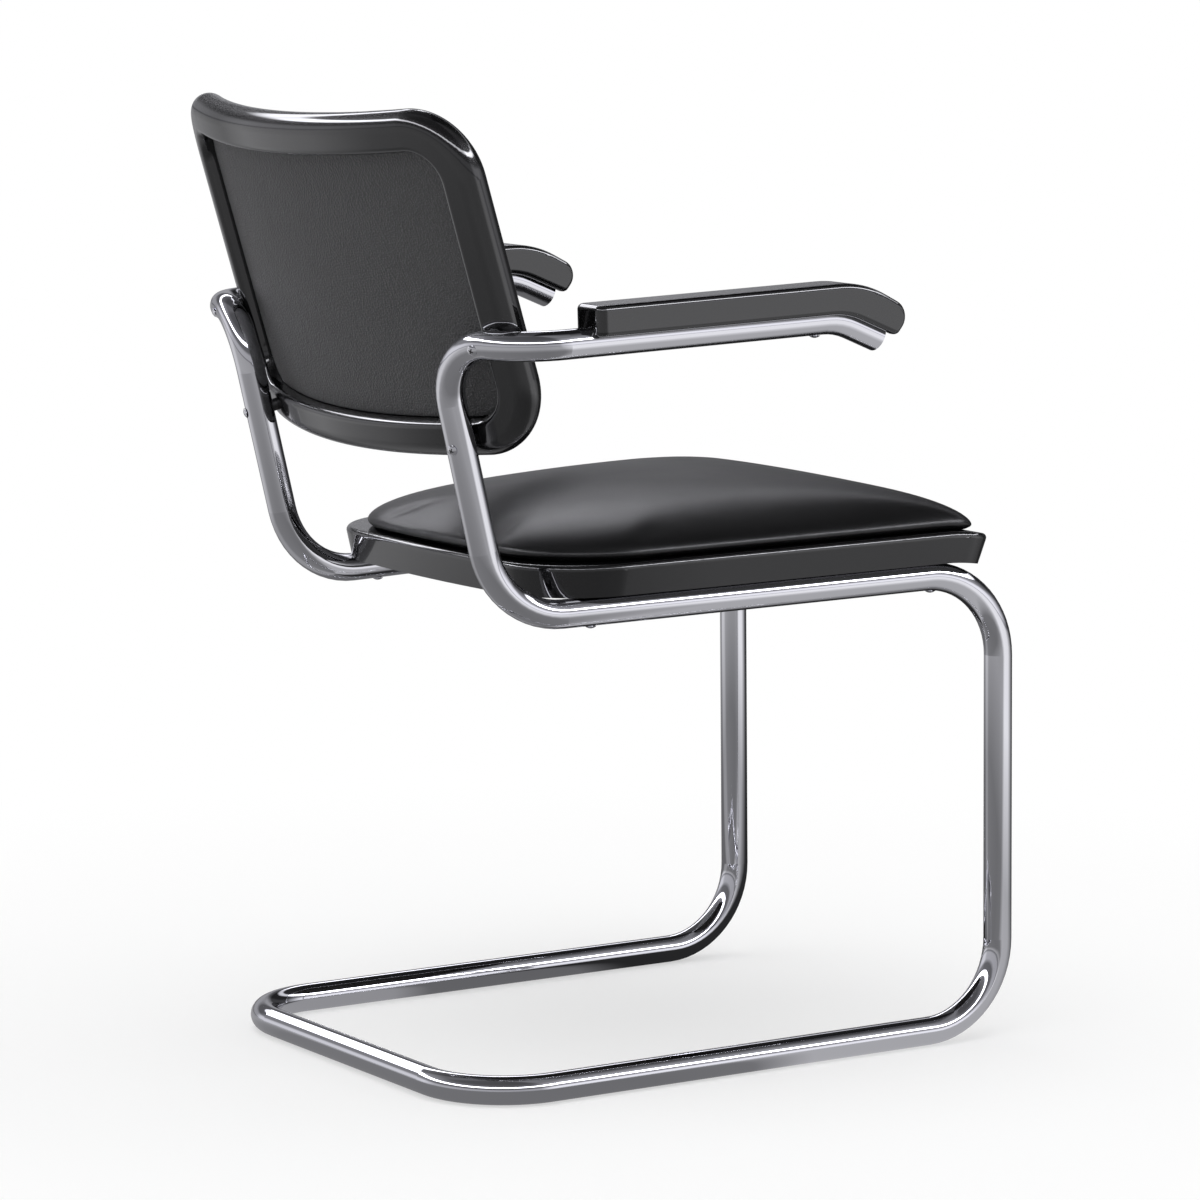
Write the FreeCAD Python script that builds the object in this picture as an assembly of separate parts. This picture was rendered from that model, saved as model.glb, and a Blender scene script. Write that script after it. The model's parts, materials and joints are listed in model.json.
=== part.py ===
"""Cantilever armchair: one bent steel tube, lacquered beech seat and back frames, leather pads.

Millimetres, +Z up, the sitter faces -Y and sits with the right hand at -X. While the chair is
built, y = 0 is the centre line of the rear floor bar. At the end everything moves along Y so
that the origin lies on the floor under the middle of the chair.
"""
import FreeCAD, Part
import math
import os

V = FreeCAD.Vector
X_AXIS = V(1, 0, 0)
Y_AXIS = V(0, 1, 0)
Z_AXIS = V(0, 0, 1)
ORIGIN = V(0, 0, 0)

# Tube frame
tube_diameter = 25.0
tube_wall = 2.0
tube_seam_turn = 45.0       # degrees, so that no screw hole meets the surface's seam
base_width = 416.0          # between the centre lines of the two floor runners
base_depth = 545.0          # rear floor bar to front leg, centre to centre
leg_setback = 4.5           # how far the top of a leg stands behind its foot
rail_front_height = 419.0   # centre line of the seat rails at the front corner
rail_rear_height = 407.5    # and at the rear corner
rear_corner_forward = 47.0  # rear corner of the seat rails, in front of the rear floor bar
post_spacing = base_width - 73.0  # between the centre lines of the two back posts
post_rise = 236.5           # rear rail corner to shoulder corner
post_lean = 13.5            # degrees back from upright
arm_spacing = base_width + 108.0  # between the centre lines of the two arm tubes
shoulder_forward = 28.5     # how far forward the tube comes while it swings outwards
arm_length = 307.0          # outer shoulder corner to the corner of the drooping tip
arm_rise = 10.0             # how much the arm climbs over that length
tip_length = 42.0
tip_drop = 17.5
bend_radius = 75.0          # the four large bends on each side
shoulder_radius = 50.0      # the two bends of the shoulder
tip_radius = 68.0

# Armrests
armrest_width = 40.0
armrest_thickness = 26.0
saddle_depth = 7.5          # how deep the tube lies in the wood
armrest_start = 59.0        # from the outer shoulder corner to the rear end of the wood
armrest_overhang = 15.5     # how far the nose passes the end of the tube
armrest_chin = 8.0          # how far its underside passes the end of the tube
armrest_crest = 11.0        # how far its top runs on before it bends down
armrest_edge_radius = 5.0
armrest_corner_radius = 8.0
nose_top_radius = 15.0
nose_bottom_radius = 6.0

# Seat frame, measured in the plane of the seat rails
seat_front_width = base_width + 52.0
seat_rear_width = base_width - 21.0
seat_front_edge = 528.5     # corner of the front edge, in front of the rear floor bar
seat_rear_edge = 88.5
seat_front_bow = 8.0
seat_rear_bow = 12.0
seat_front_corner = 32.0
seat_rear_corner = 84.0
seat_frame_height = 28.0
seat_frame_rail = 46.0      # width of the wooden rails seen from above
draft_front = 9.0           # how far the bottom edge stands inside the top edge
draft_side = 8.0
draft_rear = 4.0
seat_edge_radius = 4.0
seat_drop_radius = 175.0    # the front of the seat curves down over the tube's bends
seat_drop_run = 56.0        # how far behind the front edge the curve starts
seat_front_joint = 420.0    # joints of the side rails, in front of the rear floor bar
seat_rear_joint = 183.0
rail_to_seat_gap = 0.3

# Seat pad
board_thickness = 12.0
board_rebate_width = 14.0
cushion_margin = 12.0       # the cushion stands this far inside the wooden edge
cushion_height = 43.0
cushion_waist = 8.0         # height of the fullest line of the cushion's side
cushion_crown_width = 140.0  # from the cushion's side to the flat middle of its crown
cushion_softness = 1.0      # 1 gives an elliptical crown, less gives a fuller one
cushion_steps = 9
cushion_tuck = 9.0          # how far the base of the cushion is drawn in

# Back
back_lean = 16.8            # degrees from upright
back_radius = 540.0         # curve of the panel, hollow towards the sitter
back_panel_width = post_spacing + 60.0
back_panel_height = 233.5
back_panel_corner = 30.0
back_centre_height = 682.8
back_gap = 1.6              # from the tube's shoulder bends to the back frame
back_rail_width = 33.5
back_rail_proud = 12.5      # how far the frame stands out behind the panel
back_rail_depth = 29.6
back_outer_round = 14.6
back_inner_round = 6.0
back_ledge_width = 12.0
back_ledge_thickness = 6.0
leather_thickness = 1.2
back_board_thickness = 2.8
front_board_thickness = 4.0
front_pad_thickness = 20.0
front_pad_crown = 7.0
front_pad_rim_radius = 10.0
pad_gap = 0.5

# Fasteners and small parts
screw_diameter = 5.0
screw_clearance = 0.3
screw_head_diameter = 9.5
screw_head_height = 1.8
screw_head_gap = 0.4        # lets the flat head clear the tube's inner bend
insert_diameter = 8.0
insert_length = 12.0
sleeve_diameter = 11.0
dowel_diameter = 8.0
dowel_length = 36.0
dowel_fit = 0.05
plug_length = 12.0
plug_fit = 0.1
seat_screw_front = 470.0    # places of the seat screws, in front of the rear floor bar
seat_screw_rear = 134.0
armrest_screw_forward = 285.0  # in front of the outer shoulder corner
lower_screw_height = 557.0
upper_screw_share = 0.9     # how far round the inner shoulder bend the upper screw sits
screw_turn = 22.0           # degrees that the back's screws are turned inwards
screw_bite = 16.0           # how deep the back's screws go into the wood

tube_radius = tube_diameter / 2
bore_radius = tube_radius - tube_wall
SIDES = (("left", 1), ("right", -1))


def mirror_x(shape):
    """The same shape on the other side of the chair."""
    return shape.mirror(ORIGIN, X_AXIS)


def on_side(shape, side):
    return shape if side > 0 else mirror_x(shape)


def cylinder(start, direction, radius, length):
    return Part.makeCylinder(radius, length, start, direction)


def unit(vector):
    return V(vector).normalize()


def rounded_path(corners, radii):
    """Edges of a path of straight runs through the corners, each inner corner turned by an arc."""
    edges = []
    last = corners[0]
    for before, corner, after, radius in zip(corners, corners[1:], corners[2:], radii):
        towards = unit(before - corner)
        onwards = unit(after - corner)
        half = towards.getAngle(onwards) / 2
        tangent = radius / math.tan(half)
        middle = unit(towards + onwards)
        begin = corner + towards * tangent
        end = corner + onwards * tangent
        top = corner + middle * (radius / math.sin(half) - radius)
        if begin.distanceToPoint(last) > 0.01:
            edges.append(Part.LineSegment(last, begin).toShape())
        edges.append(Part.Arc(begin, top, end).toShape())
        last = end
    edges.append(Part.LineSegment(last, corners[-1]).toShape())
    return edges


def rod_along(edges, radius):
    """A solid round rod along a path of lines and arcs, its seam turned away from any screw."""
    first = edges[0]
    start = first.valueAt(first.FirstParameter)
    ahead = first.tangentAt(first.FirstParameter)
    ring = Part.Wire([Part.makeCircle(radius, start, ahead)])
    ring.rotate(start, ahead, tube_seam_turn)
    return Part.Wire(edges).makePipeShell([ring], True, False)


def rounded_section(corners, place):
    """A closed wire through (a, b, radius) corners, each placed in space by place(a, b)."""
    edges = []
    count = len(corners)
    ends = []
    for i, (a, b, radius) in enumerate(corners):
        pa, pb = corners[i - 1][:2]
        na, nb = corners[(i + 1) % count][:2]
        if radius == 0:
            ends.append((place(a, b), None, place(a, b)))
            continue
        before = unit(V(pa - a, pb - b, 0))
        after = unit(V(na - a, nb - b, 0))
        half = before.getAngle(after) / 2
        tangent = radius / math.tan(half)
        middle = unit(before + after) * (radius / math.sin(half) - radius)
        ends.append((place(a + before.x * tangent, b + before.y * tangent),
                     place(a + middle.x, b + middle.y),
                     place(a + after.x * tangent, b + after.y * tangent)))
    for i, (begin, top, end) in enumerate(ends):
        if top is not None:
            edges.append(Part.Arc(begin, top, end).toShape())
        following = ends[(i + 1) % count][0]
        if end.distanceToPoint(following) > 0.001:
            edges.append(Part.LineSegment(end, following).toShape())
    return Part.Wire(edges)


# Tube frame

def shoulder_corner():
    """Corner where a back post turns outwards."""
    back = post_rise * math.tan(math.radians(post_lean))
    return V(post_spacing / 2, back - rear_corner_forward, rail_rear_height + post_rise)


def arm_corners():
    """Outer shoulder corner, corner of the drooping tip, and end of the tube."""
    inner = shoulder_corner()
    outer = V(arm_spacing / 2, inner.y - shoulder_forward, inner.z)
    tip = outer + V(0, -arm_length, arm_rise)
    return outer, tip, tip + V(0, -tip_length, -tip_drop)


def side_corners():
    """Corner points of the tube on the left side, from the rear floor bar to the arm's end."""
    half = base_width / 2
    outer, tip, end = arm_corners()
    return [
        V(half, 0, tube_radius),
        V(half, -base_depth, tube_radius),
        V(half, leg_setback - base_depth, rail_front_height),
        V(post_spacing / 2, -rear_corner_forward, rail_rear_height),
        shoulder_corner(),
        outer,
        tip,
        end,
    ]


def tube_path():
    """Edges of the whole bent tube, from the right arm's end round the floor to the left one."""
    left = side_corners()
    right = [V(-p.x, p.y, p.z) for p in reversed(left)]
    side_radii = [bend_radius] * 4 + [shoulder_radius] * 2 + [tip_radius]
    return rounded_path(right + left, list(reversed(side_radii)) + side_radii)


def arm_path(extra):
    """Edges of the left arm tube from the outer shoulder corner, run on past its end."""
    outer, tip, end = arm_corners()
    beyond = end + unit(end - tip) * extra
    return rounded_path([outer, tip, beyond], [tip_radius])


def tube_frame(rod):
    """The bent tube with its bore and the holes that its screws pass through."""
    body = rod.cut(rod_along(tube_path(), bore_radius))
    holes = [screw_hole(seat) for seat in seat_screws() + armrest_screws() + back_screws()]
    return body.cut(holes)


def tube_plugs():
    """A plastic plug that closes the left end of the tube."""
    outer, tip, end = arm_corners()
    inwards = unit(tip - end)
    return cylinder(end, inwards, bore_radius - plug_fit, plug_length)


# Screws: each is (head seat on the tube, direction of the screw, length below the head, side)

def screw_hole(seat):
    start, direction, length, side = seat
    radius = screw_diameter / 2 + screw_clearance
    return on_side(cylinder(start - direction * 2, direction, radius, tube_diameter + 4), side)


def screw(seat):
    """A round-headed screw with its head on the tube."""
    start, direction, length, side = seat
    under = start - direction * screw_head_gap
    crown = (screw_head_diameter ** 2 / 4 + screw_head_height ** 2) / (2 * screw_head_height)
    dome = Part.makeSphere(crown, under - direction * (screw_head_height - crown))
    head = dome.common(cylinder(under - direction * screw_head_height, direction,
                                screw_head_diameter / 2, screw_head_height))
    shank = cylinder(under, direction, screw_diameter / 2, length + screw_head_gap)
    return on_side(head.fuse(shank), side)


def insert(seat, depth):
    """A threaded metal insert in the wood, its mouth at the given depth below the screw's head."""
    start, direction, length, side = seat
    mouth = start + direction * depth
    body = cylinder(mouth, direction, insert_diameter / 2, insert_length)
    bore = cylinder(mouth, direction, screw_diameter / 2 + 0.02, insert_length)
    return on_side(body.cut(bore), side)


def insert_pocket(seat, depth):
    """The round pocket in the wood that holds an insert and the end of its screw."""
    start, direction, length, side = seat
    wide = cylinder(start + direction * depth, direction, insert_diameter / 2 + 0.05,
                    insert_length + 0.1)
    narrow = cylinder(start, direction, screw_diameter / 2 + screw_clearance, length + 1.0)
    return on_side(wide.fuse(narrow), side)


def rail_point(forward):
    """Point on the centre line of the left seat rail, forward of the rear floor bar."""
    front = V(base_width / 2, leg_setback - base_depth, rail_front_height)
    rear = V(post_spacing / 2, -rear_corner_forward, rail_rear_height)
    share = (forward - rear_corner_forward) / (-front.y - rear_corner_forward)
    return rear + (front - rear) * share


def seat_slope():
    """Rise of the seat rails for each millimetre forward."""
    span = base_depth - leg_setback - rear_corner_forward
    return (rail_front_height - rail_rear_height) / span


def seat_up():
    return unit(V(0, seat_slope(), 1))


SEAT_INSERT_DEPTH = tube_diameter + rail_to_seat_gap + 1.0


def seat_screws():
    """Screws from below through the seat rails, on both sides."""
    up = seat_up()
    length = tube_diameter + rail_to_seat_gap + insert_length
    return [(rail_point(forward) - up * tube_radius, up, length, side)
            for _, side in SIDES for forward in (seat_screw_front, seat_screw_rear)]


def armrest_screws():
    """Screws from below through the arm tubes into the wooden armrests."""
    outer, tip, end = arm_corners()
    along = unit(tip - outer)
    up = unit(V(0, arm_rise, arm_length))
    length = tube_diameter + 0.5 * (armrest_thickness - saddle_depth)
    return [(outer + along * distance - up * tube_radius, up, length, side)
            for _, side in SIDES for distance in (armrest_screw_forward,)]


def back_screws():
    """Lower and upper screws of the back, on both sides, from behind through the tube."""
    return [make(side) for make in (lower_screw, upper_screw) for _, side in SIDES]


def post_point(height):
    """Point on the centre line of the left back post."""
    back = (height - rail_rear_height) * math.tan(math.radians(post_lean))
    return V(post_spacing / 2, back - rear_corner_forward, height)


def lower_screw(side):
    return back_screw(post_point(lower_screw_height), side)


def shoulder_point():
    """Point on the inner bend of the left shoulder, where the upper screw goes through."""
    inner = shoulder_corner()
    outer = arm_corners()[0]
    path = rounded_path([post_point(inner.z - 2 * shoulder_radius), inner, outer,
                         outer - V(0, 2 * shoulder_radius, 0)], [shoulder_radius] * 2)
    bend = path[1]
    return bend.valueAt(bend.FirstParameter + (bend.LastParameter - bend.FirstParameter)
                        * upper_screw_share)


def upper_screw(side):
    return back_screw(shoulder_point(), side)


def back_screw(centre, side):
    """A screw through the tube's centre, square to the back and turned inwards with its curve."""
    turn = math.radians(screw_turn)
    inwards = back_forward() * math.cos(turn) - X_AXIS * math.sin(turn)
    reach = tube_radius + back_face_distance(centre, inwards)
    return centre - inwards * tube_radius, inwards, reach + screw_bite, side


# Armrests

def armrest():
    """Left armrest: a side profile that follows the tube, widened, rounded and saddled."""
    outer, tip, end = arm_corners()
    along = unit(tip - outer)
    down = unit(end - tip)
    rise = tube_radius - saddle_depth
    start = outer + along * armrest_start
    nose = end + down * armrest_overhang
    chin = end + down * armrest_chin

    def offset(point, direction, distance):
        return point + V(0, -direction.z, direction.y) * -distance

    def corner(distance):
        bend = along.getAngle(down) / 2
        across = unit(V(0, -along.z, along.y) + V(0, -down.z, down.y))
        return tip + across * (-distance / math.cos(bend))

    low, high = rise, rise + armrest_thickness
    points = [
        (offset(start, along, low), 0),
        (corner(low), tip_radius + low),
        (offset(chin, down, low), nose_bottom_radius),
        (offset(nose, down, high), nose_top_radius),
        (corner(high) + along * armrest_crest, tip_radius + high),
        (offset(start, along, high), 0),
    ]
    half = armrest_width / 2
    x = outer.x
    profile = rounded_section([(p.y, p.z, r) for p, r in points], lambda y, z: V(x - half, y, z))
    body = Part.Face(profile).extrude(V(armrest_width, 0, 0))
    rear = [e for e in body.Edges if is_rear_upright(e, start)]
    body = body.makeFillet(armrest_corner_radius, rear)
    rim = [e for e in body.Edges if is_rim(e, x, half)]
    body = body.makeFillet(armrest_edge_radius, rim)
    groove = rod_along(arm_path(2 * armrest_overhang), tube_radius + 0.1)
    return body.cut(groove)


def is_rear_upright(edge, start):
    """True for the two upright edges at the rear end of an armrest."""
    box = edge.BoundBox
    return box.XLength < 0.01 and box.YMin > start.y - 8 and box.ZLength > 15


def is_rim(edge, x, half):
    """True for the long edges of an armrest's side faces."""
    box = edge.BoundBox
    outside = abs(abs(box.XMin - x) - half) < 0.01 and abs(abs(box.XMax - x) - half) < 0.01
    return outside and box.XLength < 0.01 and box.YLength > 1


# Seat frame: built flat with its underside at z = 0, then tilted onto the rails

def seat_outline(half_front, half_rear, front, rear, bow_front, bow_rear, corner_front,
                 corner_rear, z):
    """Closed wire of a bowed trapezoid with rounded corners, front at -front, rear at -rear."""
    side_dir = unit(V(half_rear - half_front, front - rear, 0))
    inward = V(-side_dir.y, side_dir.x, 0)
    ends = []
    for half, y, bow, radius, sign in ((half_front, -front, bow_front, corner_front, -1),
                                       (half_rear, -rear, bow_rear, corner_rear, 1)):
        big = (half ** 2 + bow ** 2) / (2 * bow)
        hub = V(0, y + sign * (bow - big), 0)
        base = V(half, y, 0) + inward * radius
        run = side_dir * -sign
        b = (base - hub).dot(run)
        c = (base - hub).dot(base - hub) - (big - radius) ** 2
        reach = -b - math.sqrt(b * b - c) if c > 0 else -b + math.sqrt(b * b - c)
        centre = base + run * reach
        on_side_line = centre - inward * radius
        on_arc = hub + unit(centre - hub) * big
        middle = centre + unit(unit(on_side_line - centre) + unit(on_arc - centre)) * radius
        ends.append((on_arc, middle, on_side_line, V(0, y + sign * bow, 0)))
    lift = V(0, 0, z)
    flip = lambda p: V(-p.x, p.y, p.z)
    (fa, fm, fs, fc), (ra, rm, rs, rc) = ends
    arc = lambda a, m, b: Part.Arc(a + lift, m + lift, b + lift).toShape()
    line = lambda a, b: Part.LineSegment(a + lift, b + lift).toShape()
    return Part.Wire([
        arc(flip(fa), fc, fa), arc(fa, fm, fs), line(fs, rs), arc(rs, rm, ra),
        arc(ra, rc, flip(ra)), arc(flip(ra), flip(rm), flip(rs)),
        line(flip(rs), flip(fs)), arc(flip(fs), flip(fm), flip(fa)),
    ])


def seat_line(inset, z, side=None, rear=None):
    """The seat's outline drawn in by inset, or by its own amounts at the sides and the rear."""
    side = inset if side is None else side
    rear = inset if rear is None else rear
    front_corner = max(seat_front_corner - 0.7 * inset, 10)
    rear_corner = max(seat_rear_corner - 0.7 * inset, 14)
    return seat_outline(seat_front_width / 2 - side, seat_rear_width / 2 - side,
                        seat_front_edge - inset, seat_rear_edge + rear,
                        seat_front_bow, seat_rear_bow, front_corner, rear_corner, z)


def tilt(shape):
    """Lay a flat-built seat piece on the rails."""
    shape = shape.copy()
    slope = seat_slope()
    shape.rotate(ORIGIN, X_AXIS, -math.degrees(math.atan(slope)))
    lift = (tube_radius + rail_to_seat_gap) * math.sqrt(1 + slope ** 2)
    shape.translate(V(0, 0, rail_rear_height + lift - slope * rear_corner_forward))
    return shape


def seat_drop(y):
    """How far the curved front has come down at this place."""
    beyond = max(0.0, seat_drop_run - seat_front_edge - y)
    return seat_drop_radius - math.sqrt(seat_drop_radius ** 2 - beyond ** 2)


def seat_layer(low, high):
    """Everything between two heights, both of which curve down at the front of the seat."""
    start = seat_drop_run - seat_front_edge
    reach = seat_drop_run + seat_front_bow + seat_front_corner
    side = seat_front_width
    place = lambda along, height: V(-side / 2, along, height)

    def arc(height):
        points = [place(start - reach * share, height - seat_drop(start - reach * share))
                  for share in (0, 0.5, 1)]
        return Part.Arc(*points).toShape(), points[0], points[2]

    under, under_start, under_end = arc(low)
    over, over_start, over_end = arc(high)
    line = lambda p, q: Part.LineSegment(p, q).toShape()
    outline = Part.Wire([
        line(place(0, low), under_start), under, line(under_end, over_end), over,
        line(over_start, place(0, high)), line(place(0, high), place(0, low)),
    ])
    return Part.Face(outline).extrude(V(side, 0, 0))


def on_layer(edge, height):
    """True for an edge that lies in the curved surface at this height."""
    steps = [edge.valueAt(edge.FirstParameter + (edge.LastParameter - edge.FirstParameter) * s)
             for s in (0, 0.5, 1)]
    return all(abs(p.z + seat_drop(p.y) - height) < 0.01 for p in steps)


def seat_ring():
    """The whole wooden seat frame as one ring, before it is cut into its rails."""
    below = seat_drop(-seat_front_edge - seat_front_bow) + 1
    spread = below / seat_frame_height
    foot = seat_line(draft_front * (1 + spread), -below, draft_side * (1 + spread),
                     draft_rear * (1 + spread))
    rim = seat_line(0, seat_frame_height)
    body = Part.makeLoft([foot, rim], True, True).common(seat_layer(0, seat_frame_height))
    top = [e for e in body.Edges if on_layer(e, seat_frame_height)]
    body = body.makeFillet(seat_edge_radius, top)
    opening = Part.Face(seat_line(seat_frame_rail, -below)).extrude(
        V(0, 0, seat_frame_height + 2 * below))
    rebate = Part.Face(seat_line(seat_frame_rail - board_rebate_width, -below)).extrude(
        V(0, 0, seat_frame_height + 2 * below))
    floor = seat_layer(seat_frame_height - board_thickness, 2 * seat_frame_height)
    return body.cut([opening, rebate.common(floor)])


def seat_dowels():
    """Dowels that join the side rails to the front and rear rails, on the left side."""
    pieces = []
    slant = unit(V((seat_front_width - seat_rear_width) / 2, seat_rear_edge - seat_front_edge, 0))
    for forward in seat_joints():
        share = (forward - seat_rear_edge) / (seat_front_edge - seat_rear_edge)
        half = seat_rear_width / 2 + (seat_front_width - seat_rear_width) / 2 * share
        for across in (0.30, 0.56):
            centre = V(half - seat_frame_rail * across, -forward, seat_frame_height * 0.36)
            pieces.append(cylinder(centre - slant * (dowel_length / 2), slant,
                                   dowel_diameter / 2, dowel_length))
    return pieces


def seat_joints():
    """Distances of the two joints of a side rail from the rear floor bar."""
    return seat_front_joint, seat_rear_joint


def seat_rails():
    """Front, rear, left and right rails of the seat frame, tilted into place."""
    ring = seat_ring()
    drilled = [cylinder_grown(d, dowel_fit) for d in seat_dowels()]
    drilled += [mirror_x(d) for d in drilled]
    ring = tilt(ring.cut(drilled))
    ring = ring.cut([insert_pocket(s, SEAT_INSERT_DEPTH) for s in seat_screws()])
    front, rear = seat_joints()
    reach = 2 * seat_front_width
    box_front = Part.makeBox(reach, reach, reach, V(-reach / 2, -front - reach, -reach / 2))
    box_rear = Part.makeBox(reach, reach, reach, V(-reach / 2, -rear, -reach / 2))
    box_left = Part.makeBox(reach, front - rear, reach, V(0, -front, -reach / 2))
    parts = {
        "seat_frame_front_rail": ring.common(tilt(box_front)),
        "seat_frame_rear_rail": ring.common(tilt(box_rear)),
        "seat_frame_left_rail": ring.common(tilt(box_left)),
    }
    parts["seat_frame_right_rail"] = mirror_x(parts["seat_frame_left_rail"])
    return parts


def cylinder_grown(shape, extra):
    """A dowel's hole: the dowel with a little more radius."""
    face = [f for f in shape.Faces if "Cylinder" in str(f.Surface)][0]
    axis = face.Surface.Axis
    ends = [f.CenterOfMass for f in shape.Faces if "Plane" in str(f.Surface)]
    start = min(ends, key=lambda p: p.dot(axis))
    length = ends[0].distanceToPoint(ends[1])
    return cylinder(start - axis * extra, axis, face.Surface.Radius + extra, length + 2 * extra)


def seat_board():
    """Plywood board in the rebate of the seat frame, flush with its top."""
    inset = seat_frame_rail - board_rebate_width + pad_gap
    block = Part.Face(seat_line(inset, -board_thickness)).extrude(V(0, 0, 2 * seat_frame_height))
    layer = seat_layer(seat_frame_height - board_thickness, seat_frame_height)
    return tilt(block.common(layer))


def dropped_line(inset, height, curved=True):
    """The seat's outline as one closed curve, dropped at the front like the frame's top."""
    points = [p - Z_AXIS * (seat_drop(p.y) if curved else 0)
              for edge in seat_line(inset, height).OrderedEdges for p in outline_points(edge)]
    curve = Part.BSplineCurve()
    curve.interpolate(points, PeriodicFlag=True)
    return Part.Wire([curve.toShape()])


def outline_points(edge):
    """Points along an edge of an outline, without its last one."""
    count = 6
    span = edge.LastParameter - edge.FirstParameter
    return [edge.valueAt(edge.FirstParameter + span * i / count) for i in range(count)]


def seat_cushion():
    """Crowned cushion: outlines stacked in height, drawn in at the foot and along the crown."""
    base = seat_frame_height
    foot = cushion_margin + cushion_tuck
    levels = [(foot, base - cushion_waist * 0.3),
              (cushion_margin + cushion_tuck * 0.3, base + cushion_waist * 0.4),
              (cushion_margin, base + cushion_waist)]
    rise = cushion_height - cushion_waist
    for step in range(1, cushion_steps + 1):
        angle = math.radians(90.0 * step / cushion_steps)
        inset = cushion_margin + cushion_crown_width * (1 - math.cos(angle) ** cushion_softness)
        levels.append((inset, base + cushion_waist + rise * math.sin(angle) ** cushion_softness))
    deep = base - cushion_height
    rings = [dropped_line(foot, deep, False)] + [dropped_line(i, h) for i, h in levels]
    pad = Part.makeLoft(rings, True, True)
    return tilt(pad.common(seat_layer(base, base + 2 * cushion_height)))


# Back: a cylinder surface of back_radius, upright axis leaning by back_lean

def back_centre():
    """Middle of the panel's rear face, set where the frame clears the tube by back_gap."""
    touch = shoulder_point()
    lean = math.radians(back_lean)
    reach = back_radius + back_rail_proud
    face = back_radius - math.sqrt(reach ** 2 - touch.x ** 2)
    ahead = face - tube_radius - back_gap - (touch.z - back_centre_height) * math.sin(lean)
    return V(0, touch.y + ahead / math.cos(lean), back_centre_height)


def back_up():
    lean = math.radians(back_lean)
    return V(0, math.sin(lean), math.cos(lean))


def back_forward():
    lean = math.radians(back_lean)
    return V(0, -math.cos(lean), math.sin(lean))


def back_place(across, height, depth):
    """Point on the back: arc length across, height along the lean, depth towards the sitter."""
    turn = across / back_radius
    reach = back_radius - depth
    return (back_centre() + X_AXIS * (reach * math.sin(turn)) + back_up() * height
            + back_forward() * (back_radius - reach * math.cos(turn)))


def back_face_distance(point, direction):
    """Distance from a point along a level direction to the rear of the back frame."""
    reach = back_radius + back_rail_proud
    hub = back_centre() + back_forward() * back_radius
    axis = back_up()
    flat = lambda v: v - axis * v.dot(axis)
    start = flat(point - hub)
    run = flat(direction)
    a = run.dot(run)
    b = start.dot(run)
    c = start.dot(start) - reach ** 2
    return (-b - math.sqrt(b * b - a * c)) / a


def frame_section_corners():
    """Section of the back frame: (outwards, depth, rounding), from the panel's edge outwards."""
    board_seat = leather_thickness + back_board_thickness
    ledge_front = board_seat + back_ledge_thickness
    front = back_rail_depth - back_rail_proud
    return [
        (-back_ledge_width, board_seat, 0), (0, board_seat, 0),
        (0, -back_rail_proud, back_inner_round), (back_rail_width, -back_rail_proud, back_outer_round),
        (back_rail_width, front, back_outer_round), (0, front, back_inner_round),
        (0, ledge_front, 0), (-back_ledge_width, ledge_front, 0),
    ]


def section_at(across, height, angle):
    """The frame's section where the frame's outward direction makes this angle with the X axis."""
    turn = math.radians(angle)
    return rounded_section(
        frame_section_corners(),
        lambda out, depth: back_place(across + out * math.cos(turn),
                                      height + out * math.sin(turn), depth))


def back_corner(angle_from, half_width, half_height, corner):
    """Loft round one corner of the frame, from angle_from through a quarter turn."""
    sx = 1 if angle_from in (0, 270) else -1
    sy = 1 if angle_from in (0, 90) else -1
    hub_x = sx * (half_width - corner)
    hub_y = sy * (half_height - corner)
    wires = []
    steps = 6
    for i in range(steps + 1):
        angle = angle_from + 90.0 * i / steps
        turn = math.radians(angle)
        wires.append(section_at(hub_x + corner * math.cos(turn),
                                hub_y + corner * math.sin(turn), angle))
    return Part.makeLoft(wires, True, False)


def back_rail(sign):
    """Top (1) or bottom (-1) rail of the back with its two corners."""
    half_width = back_panel_width / 2
    half_height = back_panel_height / 2
    straight = half_width - back_panel_corner
    hub = back_centre() + back_forward() * back_radius
    face = Part.Face(section_at(-straight, sign * half_height, 90 * sign))
    sweep = math.degrees(2 * straight / back_radius)
    middle = face.revolve(hub, back_up(), sweep)
    if middle.BoundBox.XMax < half_width / 2:
        middle = face.revolve(hub, back_up(), -sweep)
    angles = (0, 90) if sign > 0 else (180, 270)
    pieces = [middle] + [back_corner(a, half_width, half_height, back_panel_corner) for a in angles]
    return pieces[0].fuse(pieces[1:])


def back_stile():
    """Left stile of the back: the section run straight up between the two rails."""
    half = back_panel_height / 2 - back_panel_corner
    face = Part.Face(section_at(back_panel_width / 2, -half, 0))
    return face.extrude(back_up() * (2 * half))


def back_dowels():
    """Dowels in the two joints of the left stile."""
    half = back_panel_height / 2 - back_panel_corner
    up = back_up()
    depth = back_rail_depth / 2 - back_rail_proud
    return [cylinder(back_place(back_panel_width / 2 + back_rail_width * 0.52, sign * half, depth)
                     - up * (dowel_length / 2), up, dowel_diameter / 2, dowel_length)
            for sign in (1, -1)]


def back_frame():
    """Top rail, bottom rail and two stiles, drilled for their dowels, inserts and screws."""
    holes = [cylinder_grown(d, dowel_fit) for d in back_dowels()]
    holes += [mirror_x(h) for h in holes]
    pockets = [insert_pocket(s, back_insert_depth(s)) for s in back_screws()]
    left = back_stile()
    parts = {
        "back_top_rail": back_rail(1).cut(holes),
        "back_bottom_rail": back_rail(-1).cut(holes + pockets),
        "back_left_stile": left.cut(holes + pockets),
    }
    parts["back_right_stile"] = mirror_x(parts["back_left_stile"])
    return parts


def back_insert_depth(seat):
    """Depth of an insert's mouth below its screw head: a millimetre inside the wood."""
    return seat[2] - screw_bite + 1.0


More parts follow.
